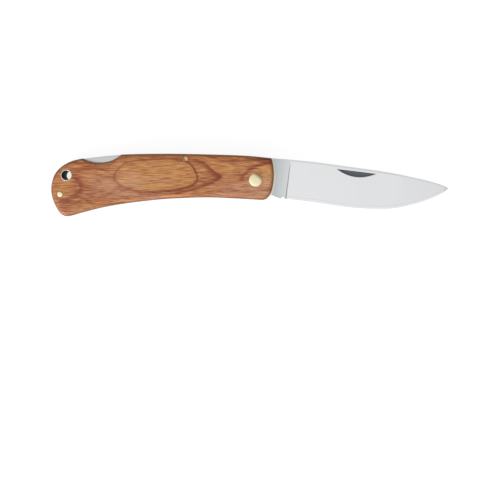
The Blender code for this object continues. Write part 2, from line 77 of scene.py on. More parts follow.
# The studio sky: brightness from the side away from the key direction to the side that it points at.
SKY_KEY = Vector((-0.35, -0.55, 0.75)).normalized()
SKY_STEPS = ((0.0, 0.30), (0.30, 0.36), (0.52, 0.58), (0.72, 0.84), (1.0, 0.88))
SKY_BLUE = 1.01
LAMP_SIZE = 0.8
LAMP_POWER = 16.0
LAMP_PLACE = (-0.75, -0.95, 0.75)

# Smoothing of the outlines that come from the frame.
WELD = 0.0005 * MM
ON_LINE = 0.002 * MM
CORNER = math.radians(32)
OUTLINE_STEP = 0.4 * MM
SEAM_STEP = 0.5 * MM
SHORT_RUN_STEPS = 14
SPAN_STEPS = 24
HOLE_STEPS = 96
# A loop is a drilled hole where its reach varies by less than this share and it has more points than this.
ROUND_WITHIN = 0.02
ROUND_POINTS = 10
# An offset corner is drawn out no further than the inverse of this.
MITRE_LIMIT = 0.45
# Staggered rows of points stand this share of a step apart. A ring's point is kept where its gap is right
# within this share.
ROW_SHARE = 0.87
RING_TOLERANCE = 0.12
# Gaps are measured for this many points at a time.
GAP_BATCH = 2000
# Lengths in metres that count as nothing, and within which points of a filled outline become one.
TINY = 1e-9
MERGE = 1e-8
ROUNDING_RINGS = tuple(ring * MM for ring in (0.05, 0.16, 0.32, 0.55, 0.85, 1.2, 1.55, 1.9, 2.4))
HOLE_RINGS = (0.12 * MM, 0.3 * MM)

# Wood
WOOD_ROUNDING = 1.9 * MM
WOOD_GRID = 0.45 * MM
WOOD_CUT_HEIGHT = 0.5 * MM
HEART_FADE = 2.0 * MM
HEART_STRENGTH = 0.6
# The wood is painted darker along its outline, partly as painted shade on the rounded edge and partly the
# veneers cut there: the width of that darkening, its strongest share, and how it eases down the side wall.
RIM_DARKENING = 0.55 * MM
RIM_DARKEST = 0.92
WALL_FADE = 1.2 * MM
WALL_LIGHTENING = 0.75
BACK_PATTERN_SHIFT = Vector((7.0, 1.5)) * MM

# Grind of the blade
SPINE_FLAT = 0.9 * MM
EDGE_BEVEL = 1.1 * MM
EDGE_SHOULDER = 0.275 * MM
EDGE_LAND = 0.03 * MM
PLUNGE_TOP_AHEAD = 16.7 * MM
PLUNGE_BOTTOM_AHEAD = 14.15 * MM
PLUNGE_WIDTH_TOP = 0.2 * MM
PLUNGE_WIDTH_BOTTOM = 0.65 * MM
TAPER_FROM_SHARE = 0.8
NICK_AHEAD = 48.0 * MM
NICK_BELOW_SPINE = 1.8 * MM
NICK_LENGTH = 19.2 * MM
NICK_WIDTH = 2.75 * MM
NICK_CUT = 0.5 * MM
NICK_LIP = 0.06 * MM
NICK_ANGLE = math.radians(-7)
NICK_STEPS = 60
ON_NICK_WALL = 0.001 * MM
# The blade's greatest depth is looked for at this many places.
DEPTH_STATIONS = 400
# The blade's mesh: steps and ends of the lines that it follows, and the points spread between them.
FLAT_LINE_STEPS = 240
FLAT_LINE_SHORT = 2.0 * MM
SHOULDER_LINE_STEPS = 300
SHOULDER_LINE_SHORT = 1.6 * MM
SHOULDER_LINE_START = 0.3 * MM
PLUNGE_LINES = 5
PLUNGE_STEPS = 60
PLUNGE_INSET = 0.15 * MM
BLADE_GRID = 0.9 * MM
BLADE_RIM_MARGIN = 0.4 * MM
LINE_MARGIN = 0.2 * MM
BLADE_SMOOTH = math.radians(20)
# What the mesh stores where the tang has no edge or ground spine, in widths of them.
FAR_FROM_EDGE = 9.0

# Rounding of the flat steel pieces' rims, in steps inwards and downwards as shares of it.
PLATE_ROUNDING = ((0.0, 1.0), (0.12, 0.5), (0.45, 0.14), (1.0, 0.0))
PLATE_SMOOTH = math.radians(30)
LINER_RIM = 0.08 * MM
BAR_RIM = 0.12 * MM
SPRING_RIM = 0.1 * MM
WASHER_RIM = 0.03 * MM
# A pin's dome as a share of its radius, and the fall of its very rim.
PIN_DOME_SHARE = 0.082
PIN_RIM = 0.03 * MM
PIN_RINGS = 14
PIN_DOME_POWER = 3.0
PIN_RIM_POWER = 16.0
PIN_SMOOTH = math.radians(50)
# Each pin's head is painted darker on one side: on the pivot and rear pins this is painted shade, standing
# for the dark reflection on the upper-right slope of a domed head; on the rocker pin it darkens the
# lower-left side.
# The direction of that side, and where on the way there the darkening begins and is full, as shares of the
# radius.
PIN_PAINTED_DARK_SIDE = {"pivot_pin": ((0.62, 0.78), 0.35, 1.0), "rocker_pin": ((-0.80, -0.60), -0.35, 0.35),
               "rear_pin": ((0.62, 0.78), 0.35, 1.0)}
TUBE_WALL = 0.42 * MM
TUBE_RIM = 0.09 * MM
TUBE_RIM_STEPS = 6

# Marks on finished metal, in cycles a metre each way: lengthwise lines, and marks that run no special way.
LONG_MARKS = (420, 4200, 4200)
EVEN_MARKS = (900, 900, 900)

# Dark seams of the laminated wood on its broad face. First each seam's half width in millimetres on its
# sharp and its soft side, its darkness at its butt end and its blade end, and its soft side: 1 on the
# left of its path, -1 on the right. Then its path, in millimetres ahead of the pivot and above it.
SEAMS = {
    "oval": ((0.42, 0.75, 0.60, 0.98, 1), [(-66.2, 1.2), (-64.4, 4.8), (-60.8, 7.8), (-56.5, 9),
        (-48.6, 9.4), (-41.4, 9.8), (-35.7, 9.4), (-32.1, 8.4), (-29.5, 6.2), (-27.9, 3.2), (-27.3, 1.2),
        (-28.1, -0.9), (-30.6, -2.7), (-35, -4), (-40.8, -4.9), (-48, -5.5), (-55, -5.2), (-60.5, -3.6),
        (-64.6, -1.2)]),
    "arrowhead": ((0.42, 2.0, 0.15, 0.95, -1), [(-31.5, 10.4), (-27, 9.3), (-23.2, 7.4), (-19.8, 4.4),
        (-17.2, 2.4), (-16, 1.6), (-17.8, 0.1), (-20.6, -1.6), (-24, -2.9), (-29.9, -4.7), (-36.4, -6.2),
        (-44.8, -7.2), (-55.2, -8), (-64.6, -9.1)]),
    "pivot_arc": ((0.95, 1.2, 0.72, 0.85, 1), [(-6.3, 0.9), (-5.8, 2), (-4.4, 3.5), (-2.5, 4.9),
        (-0.7, 5.9), (1.2, 6.8), (3.4, 7.6), (5.8, 8.2), (8.3, 8.4)]),
    "back_band": ((0.38, 0.80, 0.60, 0.95, 1), [(-22.6, 10.8), (-19.6, 10.3), (-17.2, 9.5), (-14.8, 8.9),
        (-11.1, 8.7), (-7.4, 8.9), (-3.6, 9.2), (0.4, 9.4), (4.2, 9.6), (8, 9.8)]),
    "belly_band": ((0.38, 0.9, 0.30, 0.60, -1), [(-38, -8.4), (-30, -7.2), (-24, -5.8), (-20.2, -5),
        (-16.6, -4.6), (-11.5, -4.5), (-7.6, -5), (-2.8, -5.2), (3, -4.7), (8, -4.2)]),
    "butt_loop": ((0.75, 2.0, 0.45, 0.74, 1), [(-88.2, 2.6), (-86.4, 1.4), (-84.2, 0.4), (-82.8, -1.2),
        (-82.2, -2.8), (-82.2, -4.4), (-83.8, -5.9), (-86.2, -7.4), (-88.6, -8.6), (-91.2, -9.4)]),
    "butt_bend": ((0.35, 0.9, 0.45, 0.40, 1), [(-93.4, -11.8), (-94.9, -7.5), (-95.5, -2.8), (-95.1, 1.9),
        (-93.5, 5.6), (-90.9, 8), (-87.1, 8.4), (-82.4, 7.4), (-77.7, 5.9), (-73, 5.6), (-68.8, 6.8),
        (-65.5, 8.6), (-60, 10.6)]),
    "notch_streak": ((0.35, 0.8, 0.60, 0.60, 1), [(-86.5, 5), (-81.5, 5.2), (-77.7, 5), (-72.6, 4.9),
        (-68.3, 5.6)]),
    "belly_stripe": ((0.35, 0.6, 0.60, 0.30, 1), [(-88.1, -12.4), (-84.3, -10.6), (-80.6, -9.2),
        (-76.8, -10.8), (-73, -9.4), (-69, -8.9), (-63, -8.9), (-57, -9)]),
    "back_line": ((0.28, 0.4, 0.45, 0.20, 1), [(-64, 10.2), (-58, 10.5), (-50, 10.7), (-43, 10.6),
        (-36, 10.3)]),
    "butt_streak": ((0.35, 1.0, 0.40, 0.40, 1), [(-92, -9.5), (-86, -11), (-79, -10.2), (-74, -8.8),
        (-69, -7.2)]),
    "belly_edge": ((0.30, 0.35, 0.75, 1.0, 1), [(-80.6, -13.6), (-76.8, -12.7), (-73, -11.8),
        (-69.3, -11.3), (-65.5, -10.8), (-61.7, -10.2)]),
}
# The one closed seam, round the lighter heart of the wood.
HEART_SEAM = "oval"

# Soft patches of each tint, in millimetres: middle, half lengths along and across, and strength.
PATCHES = {
    "amber": [(-39.5, 6.2, 11, 2.2, 0.9), (-40.5, -1.6, 10, 1.6, 0.8), (-57, 3.5, 6, 4, 0.7),
        (-25.5, 5.6, 3.5, 1.6, 0.6), (-90, -4.5, 3, 3, 0.7), (-88, -1, 3, 2, 0.7),
        (-76, -12.6, 13, 1.1, 0.9), (-13, 5.4, 5, 2.2, 0.8), (-9, -1.5, 4, 2, 0.4), (-60, -9, 8, 1, 0.6),
        (6.4, 2, 3, 3.6, 0.9), (2, 5.4, 5, 1.6, 0.9)],
    "mauve": [(-63, -4.2, 6, 1.8, 0.6), (-71, -5.8, 6, 1.8, 0.9), (-88, -11, 4, 2.6, 0.8),
        (-77, -6.6, 4.5, 1.8, 0.9), (-66.5, 1.6, 2.4, 2.6, 0.7), (-86, -13.2, 5, 1.4, 0.8),
        (-48, -6.6, 12, 0.9, 0.6), (-20.5, -0.4, 5, 2.2, 0.4), (-78, -8, 4, 2.4, 0.5),
        (-60, -8.2, 5, 1.1, 0.8), (-75.5, -2.4, 4.5, 3.6, 0.7), (-69, -8.4, 5, 1.4, 0.6)],
    "pink": [(-46, 0.6, 7, 1.4, 0.4), (-57, -1.6, 6, 2.4, 0.8), (-62, -7, 9, 1.5, 0.9),
        (-45, -7.4, 10, 1, 0.8), (-12, -6, 9, 1.5, 0.8), (1, -5.4, 8, 3.2, 1), (-8, -2.4, 5, 2, 0.8),
        (8, 0.5, 1.6, 6.5, 0.6), (-73, 1.5, 4, 1.4, 0.5), (-58, 1.5, 5, 2.6, 0.5), (-68.5, -2.2, 6, 3, 0.8),
        (-45, -6.6, 11, 1, 0.8), (-55, -7.4, 5, 1.2, 0.8), (-6, -3.2, 8, 2.4, 0.9),
        (-61.5, -2.6, 4, 1.8, 0.8), (-50, -8.3, 5, 1, 0.8), (-11, -3.6, 4, 3.4, 0.6),
        (5.6, -1.4, 3.4, 2.6, 0.8)],
    "russet": [(5.6, 9.2, 5, 1.4, 0.9), (-6, 1.8, 2.3, 2.2, 1), (-17.4, 1.5, 2.6, 2.1, 1),
        (-21, 1.7, 4.2, 3.2, 0.75), (-83.6, -0.8, 2.6, 3, 0.9), (-83, -6.6, 2.4, 2.2, 0.6),
        (-11, 8.8, 2.4, 1.2, 0.8), (-78, 5, 7, 0.9, 0.5), (-92.5, 3.6, 2, 2.4, 0.6),
        (-7.2, 2.4, 2.2, 1.6, 0.8), (-24.6, 8.4, 3.2, 1.2, 0.5), (-89, -4, 4.5, 4.5, 0.15),
        (-80.2, -2.6, 2.4, 3.2, 0.55), (-2.6, 5.6, 2, 1.4, 0.5), (-82, 7.6, 9, 1.2, 0.4),
        (-91.5, -12.6, 4, 1.6, 0.4)],
    "orange": [(-30, 10.6, 40, 1.2, 1), (-80, 7.4, 9, 1.6, 0.7), (-70, -10.6, 9, 1, 0.8),
        (-51, -9.4, 12, 0.7, 0.6), (-46, 2.8, 8, 1.3, 0.5), (-34, 1.2, 3.4, 2.6, 0.5), (-19, 7, 6, 3, 0.4),
        (-36, -6.8, 9, 1.2, 0.9), (4, 7.2, 5, 1.2, 0.4)],
}


def read_outlines(node, height):
    """The closed curves, largest first, in which a level plane cuts a node of the frame."""
    shape = bmesh.new()
    shape.from_mesh(frame["nodes"][node].data)
    bmesh.ops.remove_doubles(shape, verts=shape.verts, dist=WELD)
    parts = shape.verts[:] + shape.edges[:] + shape.faces[:]
    cut = bmesh.ops.bisect_plane(shape, geom=parts, dist=WELD / 5, plane_co=(0, 0, height),
                                 plane_no=(0, 0, 1))["geom_cut"]
    joins = {}
    for edge in cut:
        if isinstance(edge, bmesh.types.BMEdge):
            a, b = edge.verts
            joins.setdefault(a, []).append(b)
            joins.setdefault(b, []).append(a)
    loops = []
    while joins:
        start = next(iter(joins))
        loop = [start]
        before, here = None, start
        while True:
            ahead = [v for v in joins.pop(here, []) if v is not before]
            following = next((v for v in ahead if v in joins), None)
            if following is None:
                break
            loop.append(following)
            before, here = here, following
        if len(loop) > 2:
            loops.append(np.array([v.co.xy for v in loop], float))
    shape.free()
    return sorted(loops, key=lambda loop: -abs(area_of(loop)))


def area_of(loop):
    """The area within a loop, negative where it runs clockwise."""
    x, y = loop.T
    return 0.5 * np.sum(x * np.roll(y, -1) - np.roll(x, -1) * y)


def without_repeats(loop):
    """The loop with repeated points left out, anticlockwise."""
    if area_of(loop) < 0:
        loop = loop[::-1]
    apart = norm(loop - np.roll(loop, 1, axis=0), axis=1)
    return loop[apart > WELD * 10]


def turn_at(loop):
    """How sharply the loop turns at each of its points, in radians."""
    back = loop - np.roll(loop, 1, axis=0)
    on = np.roll(loop, -1, axis=0) - loop
    cross = back[:, 0] * on[:, 1] - back[:, 1] * on[:, 0]
    return np.arctan2(cross, (back * on).sum(1))


def curve_through(points, step, closed=False):
    """A smooth curve through points, cut into steps of one length."""
    points = np.asarray(points, float)
    if closed:
        around = np.concatenate([points[-1:], points, points[:2]])
    else:
        around = np.concatenate([2 * points[:1] - points[1:2], points, 2 * points[-1:] - points[-2:-1]])
    dense = []
    for p0, p1, p2, p3 in zip(around, around[1:], around[2:], around[3:]):
        spans = [np.sqrt(norm(b - a)) + TINY for a, b in ((p0, p1), (p1, p2), (p2, p3))]
        t0, t1, t2, t3 = np.cumsum([0.0] + spans)
        t = np.linspace(t1, t2, SPAN_STEPS, endpoint=False)[:, None]
        a1 = (t1 - t) / (t1 - t0) * p0 + (t - t0) / (t1 - t0) * p1
        a2 = (t2 - t) / (t2 - t1) * p1 + (t - t1) / (t2 - t1) * p2
        a3 = (t3 - t) / (t3 - t2) * p2 + (t - t2) / (t3 - t2) * p3
        b1 = (t2 - t) / (t2 - t0) * a1 + (t - t0) / (t2 - t0) * a2
        b2 = (t3 - t) / (t3 - t1) * a2 + (t - t1) / (t3 - t1) * a3
        dense.append((t2 - t) / (t2 - t1) * b1 + (t - t1) / (t2 - t1) * b2)
    dense = np.concatenate(dense + [points[:1] if closed else points[-1:]])
    lengths = np.concatenate([[0], np.cumsum(norm(np.diff(dense, axis=0), axis=1))])
    count = max(1, int(round(lengths[-1] / step)))
    wanted = np.linspace(0, lengths[-1], count + 1)
    return np.stack([np.interp(wanted, lengths, dense[:, i]) for i in (0, 1)], axis=1)


def smooth_loop(loop, step=OUTLINE_STEP):
    """The outline drawn as smooth curves between its corners."""
    loop = without_repeats(loop)
    corners = np.flatnonzero(np.abs(turn_at(loop)) > CORNER)
    if not len(corners):
        return curve_through(loop, step, closed=True)[:-1]
    loop = np.roll(loop, -corners[0], axis=0)
    corners = np.append(corners - corners[0], len(loop))
    loop = np.concatenate([loop, loop[:1]])
    runs = [loop[a:b + 1] for a, b in zip(corners, corners[1:])]
    steps = [min(step, norm(np.diff(run, axis=0), axis=1).sum() / SHORT_RUN_STEPS) for run in runs]
    return np.concatenate([curve_through(run, each)[:-1] for run, each in zip(runs, steps)])


def smooth_hole(loop):
    """A hole's outline: a finely stepped circle where it is drilled, and otherwise smooth curves."""
    centre = (loop.min(0) + loop.max(0)) / 2
    reach = norm(loop - centre, axis=1)
    if reach.std() >= ROUND_WITHIN * reach.mean() or len(loop) <= ROUND_POINTS:
        return smooth_loop(loop)
    angles = np.linspace(0, 2 * math.pi, HOLE_STEPS, endpoint=False)
    return centre + reach.mean() * np.stack([np.cos(angles), np.sin(angles)], axis=1)


def outlines_of(node, height):
    """The smooth outer outline of a flat node, then its holes, wound the other way."""
    loops = read_outlines(node, height)
    return [smooth_loop(loops[0])] + [smooth_hole(loop)[::-1] for loop in loops[1:]]


def gap_to(points, loop):
    """Each point's distance to a closed loop."""
    return gap_and_side(points, np.concatenate([loop, loop[:1]]))[0]


def gap_and_side(points, line):
    """Each point's distance to an open line, and its side of the nearest span, 1 on the left."""
    starts = line[:-1]
    spans = line[1:] - starts
    lengths = np.maximum((spans ** 2).sum(1), TINY ** 2)
    gaps = np.empty(len(points))
    sides = np.empty(len(points))
    for first in range(0, len(points), GAP_BATCH):
        batch = slice(first, first + GAP_BATCH)
        some = points[batch]
        away = some[:, None, :] - starts[None]
        share = np.clip((away * spans[None]).sum(2) / lengths[None], 0, 1)
        rest = away - share[..., None] * spans[None]
        squares = (rest ** 2).sum(2)
        nearest = squares.argmin(1)
        picked = np.arange(len(some)), nearest
        gaps[batch] = np.sqrt(squares[picked])
        span = spans[nearest]
        beside = rest[picked]
        sides[batch] = np.sign(span[:, 0] * beside[:, 1] - span[:, 1] * beside[:, 0])
    return gaps, sides


def inside(points, *loops):
    """Whether each point is within the first closed loop and outside the others, its holes."""
    x, y = points.T
    found = np.zeros(len(points), bool)
    for loop in loops:
        for (ax, ay), (bx, by) in zip(loop, np.roll(loop, -1, axis=0)):
            if ay != by:
                crossing = (y - ay) / (by - ay) * (bx - ax) + ax
                found ^= (y > min(ay, by)) & (y <= max(ay, by)) & (x < crossing)
    return found


def offset(loop, distance):
    """The loop moved to its left, into the material of an anticlockwise outline."""
    back = loop - np.roll(loop, 1, axis=0)
    on = np.roll(loop, -1, axis=0) - loop
    back /= norm(back, axis=1)[:, None]
    on /= norm(on, axis=1)[:, None]
    normal = np.stack([-(back + on)[:, 1], (back + on)[:, 0]], axis=1)
    normal /= norm(normal, axis=1)[:, None]
    cosine = np.clip((normal * np.stack([-on[:, 1], on[:, 0]], axis=1)).sum(1), MITRE_LIMIT, 1)
    return loop + normal * (distance / cosine)[:, None]


def fill(loops, inner_points=(), lines=()):
    """Points and triangles over a flat outline with holes. The triangles follow the open lines in it."""
    verts = []
    edges = []
    for number, path in enumerate([*loops, *lines]):
        first = len(verts)
        verts += [Vector(p) for p in path]
        edges += [(i, i + 1) for i in range(first, len(verts) - 1)]
        if number < len(loops):
            edges.append((len(verts) - 1, first))
    verts += [Vector(p) for p in inner_points]
    out, _, faces, *_ = delaunay_2d_cdt(verts, edges, [], 1, MERGE)
    points = np.array(out, float)
    faces = np.array(faces, int)
    return points, faces[inside(points[faces].mean(1), *loops)].tolist()


def grid_points(loops, step, margin):
    """Points in staggered rows inside an outline, clear of its borders."""
    low = loops[0].min(0)
    high = loops[0].max(0)
    rows = np.arange(low[1], high[1], step * ROW_SHARE)
    columns = np.arange(low[0], high[0], step)
    points = np.array([(x + (i % 2) * step / 2, y) for i, y in enumerate(rows) for x in columns])
    keep = inside(points, *loops)
    for loop in loops:
        keep &= gap_to(points, loop) > margin
    return points[keep]


def ring_points(loop, loops, distances):
    """Rings of points at chosen distances from one border, where no other border is nearer."""
    rings = []
    for distance in distances:
        ring = offset(loop, distance)
        gap = np.min([gap_to(ring, other) for other in loops], axis=0)
        keep = np.abs(gap - distance) < RING_TOLERANCE * distance
        keep &= inside(ring, loops[0])
        rings.append(ring[keep])
    return np.concatenate(rings)


def in_scene(name, data):
    """A new object of the scene."""
    made = bpy.data.objects.new(name, data)
    bpy.context.scene.collection.objects.link(made)
    return made


def new_piece(node, verts, faces, materials, smooth_below=PLATE_SMOOTH):
    """A node's finished mesh object at the origin, its faces outward and its wide angles smooth."""
    mesh = bpy.data.meshes.new(node + "_dressed")
    mesh.from_pydata(verts, [], faces)
    shape = bmesh.new()
    shape.from_mesh(mesh)
    bmesh.ops.remove_doubles(shape, verts=shape.verts, dist=WELD / 10)
    bmesh.ops.recalc_face_normals(shape, faces=shape.faces)
    shape.to_mesh(mesh)
    shape.free()
    mesh.shade_smooth()
    mesh.set_sharp_from_angle(angle=smooth_below)
    for material in materials:
        mesh.materials.append(material)
    return in_scene(mesh.name, mesh)


def append(verts, faces, more_verts, more_faces):
    """Adds a part's points and faces to a mesh's lists."""
    faces += [tuple(i + len(verts) for i in face) for face in more_faces]
    verts += more_verts


def wall(under, over, low, high):
    """A side wall between two matching loops. Each height is one number, or one for each point."""
    count = len(under)
    verts = [(*place, z) for place, z in zip(under, np.broadcast_to(low, count))]
    verts += [(*place, z) for place, z in zip(over, np.broadcast_to(high, count))]
    return verts, [(i, (i + 1) % count, count + (i + 1) % count, count + i) for i in range(count)]


def rounded_plate(node, rim, material):
    """A flat steel piece with its outline from the frame and a fine rounding on both rims."""
    low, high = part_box(node)
    loops = outlines_of(node, (low.z + high.z) / 2)
    rings = [[offset(loop, rim * share) if share else loop for loop in loops] for share, _ in PLATE_ROUNDING]
    verts = []
    faces = []
    for loop in loops:
        append(verts, faces, *wall(loop, loop, low.z + rim, high.z - rim))
    for side, level in ((-1, low.z), (1, high.z)):
        levels = [level - side * rim * share for _, share in PLATE_ROUNDING]
        for near, far, ring, inner_ring in zip(levels, levels[1:], rings, rings[1:]):
            for loop, inner in zip(ring, inner_ring):
                append(verts, faces, *wall(loop, inner, near, far))
        points, triangles = fill(rings[-1])
        append(verts, faces, [(x, y, level) for x, y in points], triangles)
    return new_piece(node, verts, faces, [material])


def places_of(piece):
    """Where the points of a piece's mesh are, one row each."""
    return np.array([v.co for v in piece.data.vertices], float)


def sharpen(piece, lines):
    """Keeps the edges that lie on any of these lines sharp, however shallow their angle."""
    mesh = piece.data
    ends = np.empty(len(mesh.edges) * 2, np.int32)
    mesh.edges.foreach_get("vertices", ends)
    ends = ends.reshape(-1, 2)
    places = places_of(piece)[:, :2]
    on_line = np.zeros(len(ends), bool)
    for line in lines:
        gap = gap_and_side(places, line)[0]
        middle_gap = gap_and_side(places[ends].mean(1), line)[0]
        on_line |= (gap[ends] < ON_LINE).all(1) & (middle_gap < ON_LINE)
    sharp = mesh.attributes.get("sharp_edge") or mesh.attributes.new("sharp_edge", "BOOLEAN", "EDGE")
    before = np.zeros(len(ends), bool)
    sharp.data.foreach_get("value", before)
    sharp.data.foreach_set("value", before | on_line)


def store(piece, name, values):
    """Keeps one number for each point of a mesh, for a material to read."""
    made = piece.data.attributes.new(name, "FLOAT", "POINT")
    made.data.foreach_set("value", np.asarray(values, np.float32))


def seam_darkness(points):
    """How dark the seams make the wood at each place, from 0 to 1."""
    light = np.ones(len(points))
    for name, ((sharp, soft, butt_darkness, blade_darkness, soft_side), path) in SEAMS.items():
        curve = curve_through(np.array(path) * MM, SEAM_STEP, closed=name == HEART_SEAM)
        gap, side = gap_and_side(points, curve)
        width = np.where(side * soft_side > 0, soft, sharp) * MM
        ends = (curve[:, 0].min(), curve[:, 0].max())
        darkness = np.interp(points[:, 0], ends, (butt_darkness, blade_darkness))
        light *= 1 - darkness * np.exp(-(gap / width) ** 2)
    return 1 - light


def patch_strength(points, patches):
    """How strongly soft-edged oval patches colour each place, from 0 to 1."""
    strength = np.zeros(len(points))
    for x, y, half_length, half_width, most in patches:
        share = (points - np.array((x, y)) * MM) / (np.array((half_length, half_width)) * MM)
        strength = np.maximum(strength, most * np.exp(-(share ** 2).sum(1)))
    return strength


def rounded_drop(gap):
    """How far the wood's face has fallen at some distances from its outline."""
    rise = np.clip(WOOD_ROUNDING - np.where(gap < WELD, 0, gap), 0, None)
    return WOOD_ROUNDING - np.sqrt(WOOD_ROUNDING ** 2 - rise ** 2)


def make_scale(node, outward, pattern_shift, material):
    """One wooden handle scale: its outline from the frame, its rim rounded, its grain and its darkened rim,
    partly painted shade, stored.
    """
    low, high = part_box(node)
    inner, face = (low.z, high.z) if outward > 0 else (high.z, low.z)
    loops = outlines_of(node, inner + outward * WOOD_CUT_HEIGHT)
    outer = loops[0]
    near = [ring_points(outer, loops, ROUNDING_RINGS)]
    near += [ring_points(loop, loops, HOLE_RINGS) for loop in loops[1:]]
    spread = grid_points(loops, WOOD_GRID, HOLE_RINGS[-1])
    spread = spread[gap_to(spread, outer) > ROUNDING_RINGS[-1]]
    points, faces = fill(loops, np.concatenate(near + [spread]))
    heights = face - outward * rounded_drop(gap_to(points, outer))
    verts = [(*place, z) for place, z in zip(points, heights)]
    points, triangles = fill(loops)
    append(verts, faces, [(x, y, inner) for x, y in points], triangles)
    for loop in loops:
        append(verts, faces, *wall(loop, loop, inner, face - outward * rounded_drop(gap_to(loop, outer))))
    piece = new_piece(node, verts, faces, [material])
    store_grain(piece, pattern_shift, outer, face)
    return piece


def store_grain(piece, pattern_shift, outer, face):
    """The wood's pattern, kept on the mesh as one number for each of its features, with the darkening along
    its outline, which is partly painted shade on the rounded edge.
    """
    places = places_of(piece)
    level = places[:, :2]
    relative = level - np.array(pivot_place()) - np.array(pattern_shift)
    store(piece, "seam", seam_darkness(relative))
    border = curve_through(np.array(SEAMS[HEART_SEAM][1]) * MM, OUTLINE_STEP, closed=True)[:-1]
    within = np.clip(gap_to(relative, border) / HEART_FADE, 0, 1) * inside(relative, border)
    for tint, patches in PATCHES.items():
        heart = HEART_STRENGTH * within if tint == "amber" else 0
        store(piece, tint, np.maximum(heart, patch_strength(relative, patches)))
    # Painted shade, partly real: the stored rim darkens the wood along its outline, strongest on the
    # rounding and easing down the wall.
    down_wall = np.clip((np.abs(places[:, 2] - face) - WOOD_ROUNDING) / WALL_FADE, 0, 1)
    darkest = RIM_DARKEST * (1 - WALL_LIGHTENING * down_wall)
    store(piece, "rim", darkest * np.exp(-(gap_to(level, outer) / RIM_DARKENING) ** 2))


def pivot_place():
    """Where the pivot stands in the level plane."""
    joint = next(j for j in frame["joints"] if j["name"] == "blade_fold")
    return joint["pos_m"][:2]


